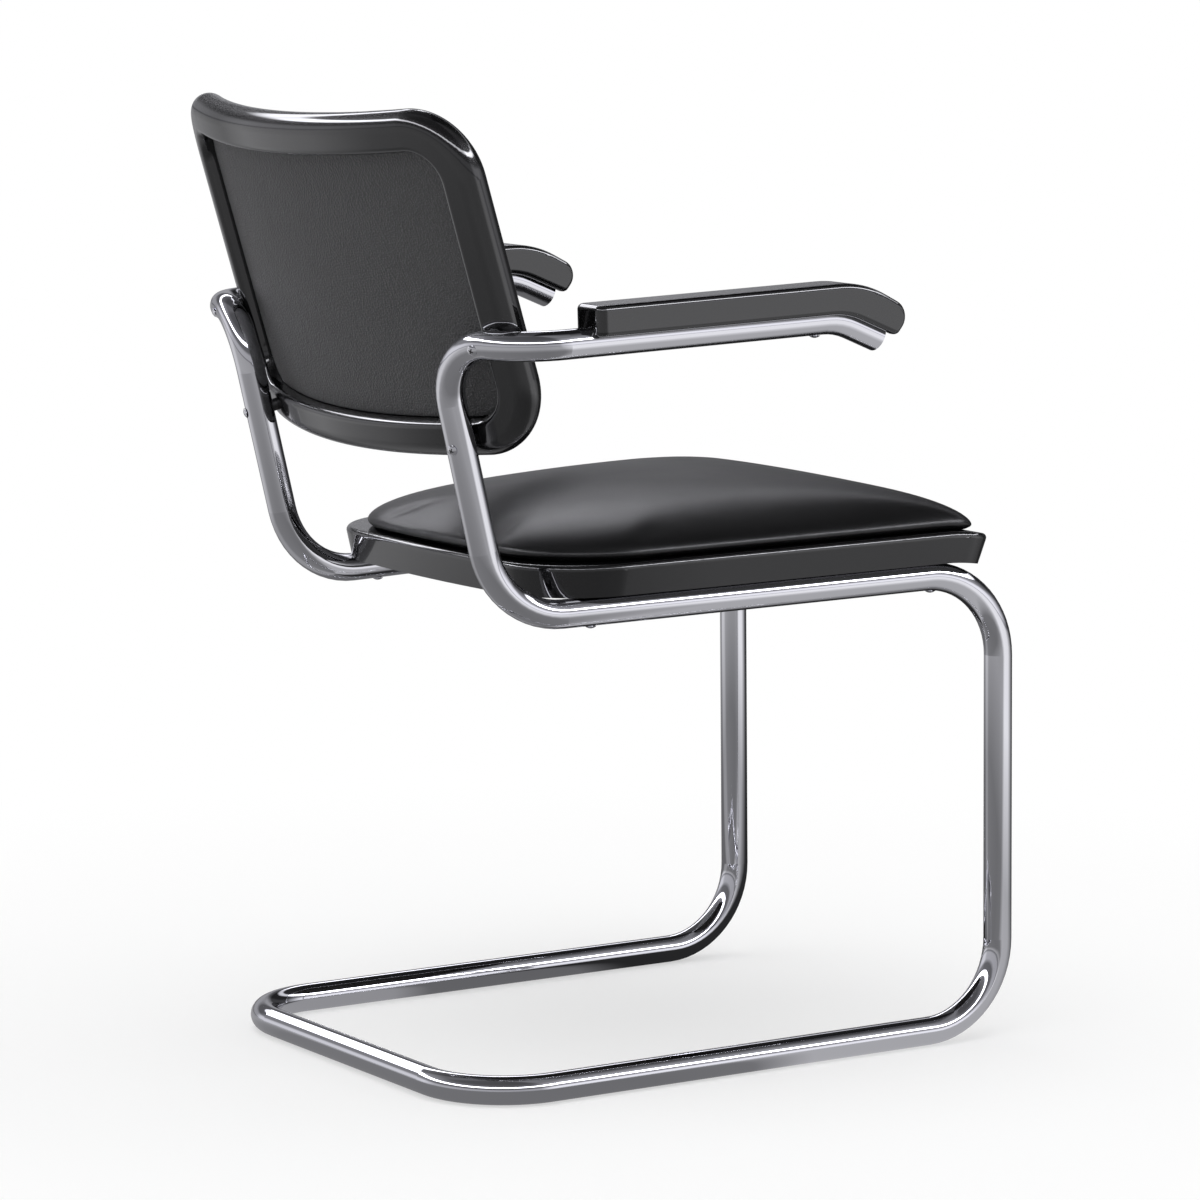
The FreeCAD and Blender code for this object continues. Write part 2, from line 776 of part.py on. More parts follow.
def back_sleeve(seat, rod, frame):
    """Black sleeve between the tube and the back frame, hollow for its screw."""
    start, direction, length, side = seat
    centre = start + direction * tube_radius
    reach = length - screw_bite - tube_radius + sleeve_diameter / 2
    outside = cylinder(centre, direction, sleeve_diameter / 2, reach)
    bore = cylinder(start, direction, screw_diameter / 2 + screw_clearance, length)
    pocket = insert_pocket((start, direction, length, 1), back_insert_depth(seat))
    sleeve = outside.cut([rod, bore, pocket])
    return max(on_side(sleeve, side).cut(frame).Solids, key=lambda solid: solid.Volume)


def panel_outline(shrink):
    """Corners (across, height, rounding) of the panel, made smaller all round by shrink."""
    half_width = back_panel_width / 2 - shrink
    half_height = back_panel_height / 2 - shrink
    corner = max(back_panel_corner - shrink, 6)
    return half_width, half_height, corner


def curved_sheet(shrink, near, far):
    """A sheet that follows the back's curve, between two depths, with rounded corners."""
    half_width, half_height, corner = panel_outline(shrink)
    reach = back_radius
    hub = back_centre() + back_forward() * back_radius
    up = back_up()
    bottom = hub - up * half_height
    tall = 2 * half_height
    ring = Part.makeCylinder(reach - near, tall, bottom, up).cut(
        Part.makeCylinder(reach - far, tall, bottom, up))
    return ring.common(back_prism(half_width, half_height, corner, far))


def back_prism(half_width, half_height, corner, depth):
    """A straight prism towards the sitter that clears the frame's inside down to a depth."""
    side = (back_radius - depth) * math.sin(half_width / back_radius)
    up = back_up()
    behind = back_centre() - back_forward() * back_rail_depth
    outline = rounded_section(
        [(side, half_height, corner), (-side, half_height, corner),
         (-side, -half_height, corner), (side, -half_height, corner)],
        lambda a, b: behind + X_AXIS * a + up * b)
    return Part.Face(outline).extrude(back_forward() * (back_radius / 2))


def back_front_pad():
    """Front pad: its face bulges towards the sitter, on the back's curve, with a soft rim."""
    base = leather_thickness + back_board_thickness + back_ledge_thickness + front_board_thickness
    half_width, half_height, corner = panel_outline(pad_gap + 1.0)
    hub = back_centre() + back_forward() * back_radius
    up = back_up()
    out = -back_forward()
    place = lambda depth, height: hub + out * (back_radius - depth) + up * height
    tall = half_height * 1.05
    side = base + front_pad_thickness - front_pad_crown
    middle = base + front_pad_thickness
    profile = Part.Wire([
        Part.LineSegment(place(base, -tall), place(base, tall)).toShape(),
        Part.LineSegment(place(base, tall), place(side, tall)).toShape(),
        Part.Arc(place(side, tall), place(middle, 0), place(side, -tall)).toShape(),
        Part.LineSegment(place(side, -tall), place(base, -tall)).toShape(),
    ])
    slab = Part.Face(profile)
    slab.rotate(hub, up, -60)
    slab = slab.revolve(hub, up, 120)
    inside = back_rail_depth - back_rail_proud
    body = slab.common(back_prism(half_width, half_height, corner, inside))
    rim = [e for e in body.Edges if is_front_edge(e, hub, up, back_radius - base)]
    return body.makeFillet(front_pad_rim_radius, rim)


def is_front_edge(edge, hub, up, rear_radius):
    """True for the edges of the pad's front face: they lie inside the radius of its rear face."""
    for vertex in edge.Vertexes:
        reach = vertex.Point - hub
        if (reach - up * reach.dot(up)).Length > rear_radius - 2:
            return False
    return True


def build():
    """All sub-parts by name, in the building frame."""
    rod = rod_along(tube_path(), tube_radius)
    parts = {"tube_frame": tube_frame(rod)}
    for name, side in SIDES:
        parts["tube_plug_" + name] = on_side(tube_plugs(), side)
        rest = armrest().cut([insert_pocket(s, tube_diameter + 1.0) for s in armrest_screws()
                              if s[3] > 0])
        parts["armrest_" + name] = on_side(rest, side)
    parts["armrest_screws"] = Part.makeCompound([screw(s) for s in armrest_screws()])
    parts.update(seat_rails())
    dowels = [tilt(d) for d in seat_dowels()]
    parts["seat_frame_dowels"] = Part.makeCompound(dowels + [mirror_x(d) for d in dowels])
    parts["seat_board"] = seat_board()
    parts["seat_cushion"] = seat_cushion()
    parts["seat_screws"] = Part.makeCompound([screw(s) for s in seat_screws()])
    parts["seat_inserts"] = Part.makeCompound([insert(s, SEAT_INSERT_DEPTH) for s in seat_screws()])
    parts.update(back_frame())
    dowels = back_dowels()
    parts["back_frame_dowels"] = Part.makeCompound(dowels + [mirror_x(d) for d in dowels])
    board = leather_thickness + back_board_thickness
    ledge = board + back_ledge_thickness
    parts["back_rear_leather"] = curved_sheet(pad_gap, 0, leather_thickness)
    parts["back_rear_board"] = curved_sheet(pad_gap, leather_thickness, board)
    parts["back_front_board"] = curved_sheet(pad_gap, ledge, ledge + front_board_thickness)
    parts["back_front_pad"] = back_front_pad()
    screws = back_screws()
    parts["back_lower_screws"] = Part.makeCompound([screw(s) for s in screws[:2]])
    parts["back_upper_screws"] = Part.makeCompound([screw(s) for s in screws[2:]])
    parts["back_inserts"] = Part.makeCompound([insert(s, back_insert_depth(s)) for s in screws])
    frame = [shape for name, shape in parts.items() if name.endswith(("_rail", "_stile"))]
    parts["back_sleeves"] = Part.makeCompound([back_sleeve(s, rod, frame) for s in screws])
    return parts


def centre_on_floor(parts):
    """Move every piece along Y so that the origin lies under the middle of the chair."""
    boxes = [shape.optimalBoundingBox(False, False) for shape in parts.values()]
    middle = (min(b.YMin for b in boxes) + max(b.YMax for b in boxes)) / 2
    for shape in parts.values():
        shape.translate(V(0, -middle, 0))
    return middle


os.makedirs("parts", exist_ok=True)
pieces = build()
print("moved along Y by", round(-centre_on_floor(pieces), 3))
for name, shape in pieces.items():
    shape.exportStep("parts/" + name + ".step")
    print(name, "valid", shape.isValid(), "solids", len(shape.Solids), "volume", round(shape.Volume))
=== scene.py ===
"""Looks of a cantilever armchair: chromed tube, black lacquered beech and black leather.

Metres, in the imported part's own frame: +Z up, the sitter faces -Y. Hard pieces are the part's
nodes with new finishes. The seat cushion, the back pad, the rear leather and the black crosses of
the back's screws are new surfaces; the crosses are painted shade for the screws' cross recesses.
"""
import json
import math

import bmesh
import bpy
import numpy as np
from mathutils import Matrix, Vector


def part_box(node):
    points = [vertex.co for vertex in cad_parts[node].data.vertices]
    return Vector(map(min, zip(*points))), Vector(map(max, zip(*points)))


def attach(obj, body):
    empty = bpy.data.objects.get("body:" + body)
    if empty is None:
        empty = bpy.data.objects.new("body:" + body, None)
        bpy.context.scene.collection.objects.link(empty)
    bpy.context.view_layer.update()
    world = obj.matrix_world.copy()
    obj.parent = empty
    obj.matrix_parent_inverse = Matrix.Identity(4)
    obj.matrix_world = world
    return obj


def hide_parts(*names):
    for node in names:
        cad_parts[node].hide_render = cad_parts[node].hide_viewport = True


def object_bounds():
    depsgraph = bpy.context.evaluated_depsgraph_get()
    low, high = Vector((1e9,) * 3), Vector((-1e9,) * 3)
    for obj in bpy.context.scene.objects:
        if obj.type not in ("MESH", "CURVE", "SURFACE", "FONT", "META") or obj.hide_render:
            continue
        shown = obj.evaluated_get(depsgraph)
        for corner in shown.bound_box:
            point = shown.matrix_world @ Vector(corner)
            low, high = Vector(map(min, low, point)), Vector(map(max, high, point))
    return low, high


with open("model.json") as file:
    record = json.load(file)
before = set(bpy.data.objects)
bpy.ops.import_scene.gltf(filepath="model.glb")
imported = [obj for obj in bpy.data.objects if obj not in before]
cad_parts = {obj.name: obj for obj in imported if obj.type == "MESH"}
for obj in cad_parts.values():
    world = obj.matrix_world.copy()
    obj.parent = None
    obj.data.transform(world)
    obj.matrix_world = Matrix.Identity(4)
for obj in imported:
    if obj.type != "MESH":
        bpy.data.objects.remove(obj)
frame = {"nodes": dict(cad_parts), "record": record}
nodes = frame["nodes"]
cad_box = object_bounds()

MM = 0.001

# Camera: where the photograph was taken from, behind the chair's right arm
camera_from_rear_bar = Vector((-3.8274, 2.1983, 1.0354))
camera_turn = math.radians(32.69)
camera_tilt = math.radians(8.10)
focal_length = 155.75
towards_camera = Vector((-math.cos(camera_turn), math.sin(camera_turn), 0))
camera_right = Vector((-math.sin(camera_turn), -math.cos(camera_turn), 0))


def linear(hex_colour):
    """sRGB hex to linear red, green, blue and alpha."""
    channels = [int(hex_colour[i:i + 2], 16) / 255 for i in (1, 3, 5)]
    return [c / 12.92 if c <= 0.04045 else ((c + 0.055) / 1.055) ** 2.4 for c in channels] + [1.0]


# Seat and back, as in the part's source, measured from the rear floor bar
seat_front_half = 234 * MM
seat_rear_half = 197.5 * MM
seat_front_edge = 528.5 * MM
seat_rear_edge = 88.5 * MM
seat_front_bow = 8 * MM
seat_rear_bow = 12 * MM
seat_front_corner = 32 * MM
seat_rear_corner = 84 * MM
seat_drop_radius = 175 * MM    # the front of the seat curves down over the tube's bends
seat_drop_run = 56 * MM
rail_rear_height = 407.5 * MM
rail_front_height = 419 * MM
rear_corner_forward = 47 * MM
base_depth = 545 * MM
leg_setback = 4.5 * MM
tube_radius = 12.5 * MM
rail_to_seat_gap = 0.3 * MM
seat_frame_height = 28 * MM
cushion_margin = 12 * MM
cushion_tuck = 5 * MM
cushion_waist = 5 * MM
cushion_height = 43 * MM
back_lean = math.radians(16.8)
back_radius = 540 * MM
back_half_width = 201.5 * MM
back_half_height = 116.75 * MM
back_corner = 30 * MM
back_centre_height = 682.8 * MM
back_centre_behind = 25.5 * MM
back_leather = 1.2 * MM
front_pad_base = 14 * MM
front_pad_depth = 20 * MM

rear_bar_y = 239.7 * MM        # the rear floor bar's centre line in the imported part

# Screws of the back: domed heads that point forwards and inwards, each with a black cross of painted
# shade for its recess
head_radius = 4.75 * MM
head_height = 1.8 * MM
dome_radius = (head_radius ** 2 + head_height ** 2) / (2 * head_height)
screw_turn = math.radians(22)
cross_turn = 0.4
recess_half_length = 2.3 * MM
recess_half_width = 0.55 * MM
recess_lift = 0.04 * MM        # the cross lies this far above the dome, to be seen
recess_depth = 0.4 * MM

# Padded pieces as grids
side_cells = 44                # cells along each of the four sides
conic_points = 41
foot_rings = 3
shoulder_rings = 12
shoulder_end = 65              # degrees of a quarter ellipse that the shoulder takes
front_corner_trim = 8 * MM     # the cushion's front corners are that much tighter than the seat's
seat_corner_share = 0.35       # change of the cushion's corner radii with the inset
back_corner_share = 0.7        # the same for the back's panel
smallest_corner = 6 * MM
swell_frames = 20

# Walls of the studio, as the chair's shiny pieces mirror them: linear grey by the turn from the
# camera's own side, where 0 and 1 lie beyond the chair and 0.5 at the camera
wall_greys = ((0.0, 0.32), (0.12, 0.34), (0.15, 0.72), (0.22, 0.76), (0.27, 0.48), (0.40, 0.44),
              (0.55, 0.40), (0.62, 0.44), (0.66, 1.05), (0.74, 1.0), (0.79, 0.50), (0.85, 0.06),
              (0.975, 0.05), (1.0, 0.32))
cool_tint = 1.03
# Gain over that grey by height from straight down, 0, to straight up, 1, as a share of lamp_gain
lamp_gain = 18.0
height_gains = ((0.0, 0.055), (0.49, 0.052), (0.505, 0.022), (0.525, 0.06), (0.60, 0.06),
                (0.65, 0.02), (0.72, 0.02), (0.735, 0.5), (0.745, 0.8), (0.77, 0.8),
                (0.785, 0.03), (0.90, 0.012), (1.0, 0.012))

# Floor: a disc of rings with these radii in metres
floor_radii = np.array([0.5, 1.0, 2.0, 4.0, 9.0, 20.0])
floor_sides = 96
floor_below = 0.2 * MM


# Surfaces from arrays

def mesh_object(name, vertices, faces):
    """A smooth-shaded mesh object at the origin, its places held in the mesh."""
    mesh = bpy.data.meshes.new(name)
    mesh.from_pydata(vertices, [], faces)
    mesh.polygons.foreach_set("use_smooth", np.ones(len(mesh.polygons), bool))
    mesh.update()
    shape = bpy.data.objects.new(name, mesh)
    bpy.context.scene.collection.objects.link(shape)
    return shape


def meeting_point(a, along_a, b, along_b):
    """Where the line from a along along_a crosses the line from b along along_b, in the plane."""
    step = np.linalg.solve(np.array([along_a, -along_b]).T, b - a)
    return a + along_a * step[0]


def even_points(line, cells):
    """Points that cut a line of points into cells of one length, the last point left out."""
    lengths = np.linalg.norm(np.diff(line, axis=0), axis=1)
    run = np.concatenate([[0], np.cumsum(lengths)])
    at = np.linspace(0, run[-1], cells + 1)[:-1]
    return np.stack([np.interp(at, run, line[:, k]) for k in range(2)], -1)


def corner_line(half, edge, bow, radius, side):
    """Half an edge from its middle to its corner, and the corner's conic.

    The edge is the parabola y = edge + bow * (1 - (x / half) ** 2), and the corner a conic
    between its tangent points with the weight 0.707, which makes it round. side is the flank's
    direction away from this edge.
    """
    x = np.linspace(0, half - radius, 40)
    run = np.stack([x, edge + bow * (1 - (x / half) ** 2)], -1)
    slope = np.array([1.0, -2 * bow * x[-1] / half ** 2])
    sharp = meeting_point(run[-1], slope, np.array([half, edge]), side)
    ahead = side * np.linalg.norm(sharp - run[-1])
    t = np.linspace(0, 1, conic_points)[:, None]
    parts = ((1 - t) ** 2, 2 * 0.707 * t * (1 - t), t ** 2)
    conic = (parts[0] * run[-1] + parts[1] * sharp + parts[2] * (sharp + ahead)) / sum(parts)
    return run, conic


def closed_outline(halves, edges, bows, radii):
    """Four times side_cells points round a bowed trapezoid, from its low left corner.

    halves, edges, bows and radii hold the value at low y and the value at high y.
    """
    side = np.array([halves[1] - halves[0], edges[1] - edges[0]])
    side = side / np.linalg.norm(side)
    low_run, low_conic = corner_line(halves[0], edges[0], bows[0], radii[0], side)
    high_run, high_conic = corner_line(halves[1], edges[1], bows[1], radii[1], -side)
    middle = conic_points // 2
    low_half = np.vstack([low_run, low_conic[1:middle + 1]])
    high_half = np.vstack([high_run, high_conic[1:middle + 1]])
    flank = np.vstack([low_conic[middle:], high_conic[::-1][:middle + 1]])
    mirrored = np.array([-1.0, 1.0])
    low = np.vstack([(low_half * mirrored)[::-1], low_half[1:]])
    high = np.vstack([high_half[::-1], (high_half * mirrored)[1:]])
    left = (flank * mirrored)[::-1]
    return np.vstack([even_points(line, side_cells) for line in (low, flank, high, left)])


def coons_patch(ring):
    """A square grid of points inside a closed ring, blended from its four sides.

    Each point is the sum of the two blends between opposite sides, less the blend of the four
    corners.
    """
    n = side_cells
    low, right, high, left = (np.take(ring, np.arange(k * n, k * n + n + 1), axis=0, mode="wrap")
                              for k in range(4))
    u = np.linspace(0, 1, n + 1)[None, :, None]
    v = np.linspace(0, 1, n + 1)[:, None, None]
    between = (1 - v) * low[None] + v * high[::-1][None]
    across = (1 - u) * left[::-1][:, None] + u * right[:, None]
    corners = ((1 - u) * (1 - v) * low[0] + u * (1 - v) * right[0]
               + (1 - u) * v * left[0] + u * v * high[0])
    return between + across - corners


def membrane(size, sweeps=4000):
    """Height of an evenly loaded membrane on a square grid, 0 at its edge and 1 at its highest.

    Every sweep gives each point the mean of its four neighbours plus the load.
    """
    height = np.zeros((size, size))
    for _ in range(sweeps):
        height[1:-1, 1:-1] = (height[:-2, 1:-1] + height[2:, 1:-1] + height[1:-1, :-2]
                              + height[1:-1, 2:]) / 4 + 1.0 / size ** 2
    return height / height.max()


def padded_form(name, outline, foot, waist, shoulder, crown, place):
    """A closed pad: drawn in at its foot, full at its waist, rounded over, with a swelling middle.

    outline(inset) gives a ring in the plane. foot and waist are (inset, height). From the waist
    a quarter of an ellipse rises over the shoulder's width and height, as far as shoulder_end.
    Inside that ring the height adds a membrane's swell up to the crown. place(x, y, height)
    carries points to the chair. The bottom, the foot, the waist and the ring above it are held
    in the vertex group "held".
    """
    turn = np.radians(np.linspace(0, shoulder_end, shoulder_rings)[1:])
    inset = waist[0] + shoulder[0] * (1 - np.cos(turn)) / (1 - np.cos(turn[-1]))
    height = waist[1] + shoulder[1] * np.sin(turn) / np.sin(turn[-1])
    low = np.linspace(0, 1, foot_rings)[:, None]
    start = np.array([foot]) * (1 - low) + np.array([waist]) * low
    profile = np.vstack([start, np.stack([inset, height], -1)])
    rings = [np.column_stack([outline(i), np.full(4 * side_cells, h)]) for i, h in profile]
    top = coons_patch(rings[-1])
    top[..., 2] += membrane(side_cells + 1) * (crown - height[-1])
    bottom = coons_patch(rings[0])
    around = 4 * side_cells
    ring_points = np.vstack(rings)
    index = np.arange(len(ring_points)).reshape(len(rings), around)
    ahead = np.roll(index, -1, axis=1)
    quads = [np.stack([index[:-1], ahead[:-1], ahead[1:], index[1:]], -1).reshape(-1, 4)]
    grid = np.arange((side_cells + 1) ** 2).reshape(side_cells + 1, side_cells + 1)
    cell = np.stack([grid[:-1, :-1], grid[:-1, 1:], grid[1:, 1:], grid[1:, :-1]], -1).reshape(-1, 4)
    quads.append(cell + len(ring_points))
    quads.append(cell[:, ::-1] + len(ring_points) + grid.size)
    points = np.vstack([ring_points, top.reshape(-1, 3), bottom.reshape(-1, 3)])
    held = np.concatenate([np.repeat(np.arange(len(rings)) <= foot_rings, around),
                           np.zeros(grid.size, bool), np.ones(grid.size, bool)])
    pad = mesh_object(name, place(*points.T).tolist(), np.vstack(quads).tolist())
    group = pad.vertex_groups.new(name="held")
    group.add(np.flatnonzero(held).tolist(), 1.0, "REPLACE")
    sewn = bmesh.new()
    sewn.from_mesh(pad.data)
    bmesh.ops.remove_doubles(sewn, verts=sewn.verts, dist=0.01 * MM)
    sewn.to_mesh(pad.data)
    sewn.free()
    return pad


def swell(pad, pressure, cap):
    """Blow the pad up as cloth under air pressure, its foot held, no point moving past the cap."""
    mesh = pad.data
    start = np.empty(len(mesh.vertices) * 3)
    mesh.vertices.foreach_get("co", start)
    start = start.reshape(-1, 3)
    cloth = pad.modifiers.new("swell", "CLOTH")
    cloth.settings.quality = 6
    cloth.settings.mass = 0.4
    cloth.settings.tension_stiffness = 25
    cloth.settings.compression_stiffness = 25
    cloth.settings.bending_stiffness = 8
    cloth.settings.vertex_group_mass = "held"
    cloth.settings.use_pressure = True
    cloth.settings.uniform_pressure_force = pressure
    cloth.settings.effector_weights.gravity = 0
    scene = bpy.context.scene
    for step in range(1, swell_frames + 1):
        scene.frame_set(step)
    shaped = pad.evaluated_get(bpy.context.evaluated_depsgraph_get()).to_mesh()
    moved = np.empty(len(shaped.vertices) * 3)
    shaped.vertices.foreach_get("co", moved)
    shift = moved.reshape(-1, 3) - start
    reach = np.linalg.norm(shift, axis=1, keepdims=True)
    shift *= np.minimum(1, cap / np.maximum(reach, 1e-9))
    pad.modifiers.remove(cloth)
    mesh.vertices.foreach_set("co", (start + shift).ravel())
    mesh.update()
    scene.frame_set(1)


def smooth_once(pad):
    """One level of subdivision, for a smooth edge against the light."""
    fine = pad.modifiers.new("fine", "SUBSURF")
    fine.levels = fine.render_levels = 1


def finish_piece(piece, slot, *replaced, fill=None):
    """Let a piece ride on the chair and stand for its CAD nodes, which are hidden; the material slot
    is not used.
    """
    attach(piece, "root")
    if replaced:
        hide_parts(*replaced)
    return piece


# Node helpers for materials

def add_node(tree, kind, links=(), **settings):
    """Add a node, set its properties and sockets, and link (from socket, to input) pairs."""
    node = tree.nodes.new(kind)
    for key, value in settings.items():
        if hasattr(node, key):
            setattr(node, key, value)
        else:
            node.inputs[key].default_value = value
    for source, target in links:
        tree.links.new(source, node.inputs[target])
    return node


def new_material(name):
    """A new material, its node tree and its shader."""
    material = bpy.data.materials.new(name)
    material.use_nodes = True
    tree = material.node_tree
    return material, tree, tree.nodes["Principled BSDF"]


def chrome_plate():
    """Bright chromium plate on polished steel: a neutral mirror, softened a little by handling."""
    material, tree, shader = new_material("bright_chrome_plate")
    shader.inputs["Metallic"].default_value = 1.0
    shader.inputs["Base Color"].default_value = linear("#dcdce0")
    place = add_node(tree, "ShaderNodeTexCoord")
    smudge = add_node(tree, "ShaderNodeTexNoise", [(place.outputs["Object"], "Vector")],
                      Scale=1 / (60 * MM), Detail=4.0, Roughness=0.6)
    spread = add_node(tree, "ShaderNodeMapRange", [(smudge.outputs["Fac"], "Value")])
    spread.inputs["To Min"].default_value = 0.025
    spread.inputs["To Max"].default_value = 0.06
    tree.links.new(spread.outputs["Result"], shader.inputs["Roughness"])
    return material


def black_lacquer():
    """Black polished lacquer on stained beech: deep black, hard gloss and faint orange peel."""
    material, tree, shader = new_material("black_lacquer_on_beech")
    shader.inputs["Base Color"].default_value = linear("#060607")
    shader.inputs["Roughness"].default_value = 0.3
    shader.inputs["Specular IOR Level"].default_value = 0.1
    shader.inputs["Coat Weight"].default_value = 1.0
    shader.inputs["Coat Roughness"].default_value = 0.03
    shader.inputs["Coat IOR"].default_value = 1.75
    place = add_node(tree, "ShaderNodeTexCoord")
    peel = add_node(tree, "ShaderNodeTexNoise", [(place.outputs["Object"], "Vector")],
                    Scale=1 / (9 * MM), Detail=2.0)
    bump = add_node(tree, "ShaderNodeBump", [(peel.outputs["Fac"], "Height")],
                    Strength=0.02, Distance=0.2 * MM)
    tree.links.new(bump.outputs["Normal"], shader.inputs["Coat Normal"])
    return material


def leather(name, colour, roughness, pore, depth, sheen):
    """Dyed, plated leather: pebbled pores of the given size that break up a soft shine.

    Folds seven pores wide lie over the pores, and are painted a little paler on their crests than in
    their troughs: painted light and shade that follows the folds' bump.
    """
    fold_width = 7 * pore
    crest_highlight_gain = 1.35
    shine_spread = 0.05
    first_colour, second_colour, mixed_colour = 6, 7, 2    # sockets of a colour mix
    material, tree, shader = new_material(name)
    shader.inputs["IOR"].default_value = 1.5
    shader.inputs["Sheen Weight"].default_value = sheen
    shader.inputs["Sheen Roughness"].default_value = 0.4
    place = add_node(tree, "ShaderNodeTexCoord")
    pebbles = add_node(tree, "ShaderNodeTexVoronoi", [(place.outputs["Object"], "Vector")],
                       feature="F1", Scale=1 / pore)
    folds = add_node(tree, "ShaderNodeTexNoise", [(place.outputs["Object"], "Vector")],
                     Scale=1 / fold_width, Detail=6.0, Roughness=0.62)
    height = add_node(tree, "ShaderNodeMath", [(pebbles.outputs["Distance"], 0),
                                               (folds.outputs["Fac"], 1)], operation="ADD")
    bump = add_node(tree, "ShaderNodeBump", [(height.outputs["Value"], "Height")],
                    Strength=0.9, Distance=depth)
    tree.links.new(bump.outputs["Normal"], shader.inputs["Normal"])
    wear = add_node(tree, "ShaderNodeTexNoise", [(place.outputs["Object"], "Vector")],
                    Scale=1 / (80 * MM), Detail=3.0)
    shine = add_node(tree, "ShaderNodeMapRange", [(wear.outputs["Fac"], "Value")])
    shine.inputs["To Min"].default_value = roughness - shine_spread
    shine.inputs["To Max"].default_value = roughness + shine_spread
    tree.links.new(shine.outputs["Result"], shader.inputs["Roughness"])
    # painted light and shade: the folds' crests are paler and their troughs darker, in step with
    # their bump
    fold_light_and_shade = add_node(tree, "ShaderNodeMapRange", [(folds.outputs["Fac"], "Value")])
    mix = add_node(tree, "ShaderNodeMix", [(fold_light_and_shade.outputs["Result"], "Factor")], data_type="RGBA")
    mix.inputs[first_colour].default_value = linear(colour)
    mix.inputs[second_colour].default_value = [c * crest_highlight_gain for c in linear(colour)[:3]] + [1.0]
    tree.links.new(mix.outputs[mixed_colour], shader.inputs["Base Color"])
    return material


def bare_wood(name, pale, dark, ring):
    """Beech or birch, bare or stained: silky, with fine grain lines along the piece."""
    material, tree, shader = new_material(name)
    shader.inputs["Roughness"].default_value = 0.55
    place = add_node(tree, "ShaderNodeTexCoord")
    stretch = add_node(tree, "ShaderNodeMapping", [(place.outputs["Object"], "Vector")])
    stretch.inputs["Scale"].default_value = (1.0, 0.12, 1.0)
    grain = add_node(tree, "ShaderNodeTexNoise", [(stretch.outputs["Vector"], "Vector")],
                     Scale=1 / ring, Detail=5.0)
    colour = add_node(tree, "ShaderNodeValToRGB", [(grain.outputs["Fac"], "Fac")])
    colour.color_ramp.elements[0].color = linear(dark)
    colour.color_ramp.elements[1].color = linear(pale)
    tree.links.new(colour.outputs["Color"], shader.inputs["Base Color"])
    return material


def moulded_plastic():
    """Black moulded polyamide with a fine satin grain."""
    material, tree, shader = new_material("black_polyamide")
    shader.inputs["Base Color"].default_value = linear("#161617")
    place = add_node(tree, "ShaderNodeTexCoord")
    grain = add_node(tree, "ShaderNodeTexNoise", [(place.outputs["Object"], "Vector")],
                     Scale=1 / (0.6 * MM), Detail=2.0)
    rough = add_node(tree, "ShaderNodeMapRange", [(grain.outputs["Fac"], "Value")])
    rough.inputs["To Min"].default_value = 0.32
    rough.inputs["To Max"].default_value = 0.45
    tree.links.new(rough.outputs["Result"], shader.inputs["Roughness"])
    return material


def zinc_plate():
    """Zinc plate on steel: greyish, half bright, lightly clouded."""
    material, tree, shader = new_material("zinc_plated_steel")
    shader.inputs["Metallic"].default_value = 1.0
    shader.inputs["Base Color"].default_value = linear("#b9b6ab")
    place = add_node(tree, "ShaderNodeTexCoord")
    cloud = add_node(tree, "ShaderNodeTexNoise", [(place.outputs["Object"], "Vector")],
                     Scale=1 / (3 * MM), Detail=3.0)
    rough = add_node(tree, "ShaderNodeMapRange", [(cloud.outputs["Fac"], "Value")])
    rough.inputs["To Min"].default_value = 0.25
    rough.inputs["To Max"].default_value = 0.4
    tree.links.new(rough.outputs["Result"], shader.inputs["Roughness"])
    return material


chrome = chrome_plate()
lacquer = black_lacquer()
seat_leather = leather("seat_leather_smooth", "#0e0e0f", 0.33, 1.4 * MM, 0.05 * MM, 0.0)
back_leather_skin = leather("back_leather_pebbled", "#3a3a3b", 0.5, 1.9 * MM, 0.9 * MM, 0.05)
beech = bare_wood("bare_beech", "#d9b58a", "#b88d5e", 4 * MM)
plywood = bare_wood("black_stained_birch_plywood", "#201d1b", "#141211", 6 * MM)
plastic = moulded_plastic()
zinc = zinc_plate()

finishes = {
    "chromed_tube": chrome,
    "chromed_screw": chrome,
    "black_lacquered_beech": lacquer,
    "bare_beech": beech,
    "plywood": plywood,
    "black_leather": seat_leather,
    "back_leather": back_leather_skin,
    "black_plastic": plastic,
    "plated_steel": zinc,
}
for part in frame["record"]["subparts"]:
    mesh = nodes[part["node"]].data
    mesh.materials.clear()
    mesh.materials.append(finishes[part["material_slot"]])


# Padded pieces

def seat_ring(inset):
    """The cushion's outline in the seat's plane, drawn in by the inset."""
    corners = (seat_front_corner - front_corner_trim + seat_corner_share * inset,
               seat_rear_corner - seat_corner_share * inset)
    return closed_outline((seat_front_half - inset, seat_rear_half - inset),
                          (-(seat_front_edge - inset), -(seat_rear_edge + inset)),
                          (-seat_front_bow, seat_rear_bow), corners)


def on_seat(x, y, height):
    """From the seat's own plane, whose underside rests on the rails, to the chair.

    In front the height falls by radius - sqrt(radius ** 2 - run ** 2), an arc's drop.
    """
    rail_run = base_depth - leg_setback - rear_corner_forward
    slope = (rail_front_height - rail_rear_height) / rail_run
    turn = math.atan(slope)
    lift = (tube_radius + rail_to_seat_gap) / math.cos(turn) - slope * rear_corner_forward
    beyond = np.maximum(0, seat_drop_run - seat_front_edge - y)
    drop = seat_drop_radius - np.sqrt(seat_drop_radius ** 2 - beyond ** 2)
    z = height + seat_frame_height - drop
    return np.stack([x, y * math.cos(turn) + z * math.sin(turn) + rear_bar_y,
                     -y * math.sin(turn) + z * math.cos(turn) + rail_rear_height + lift], -1)


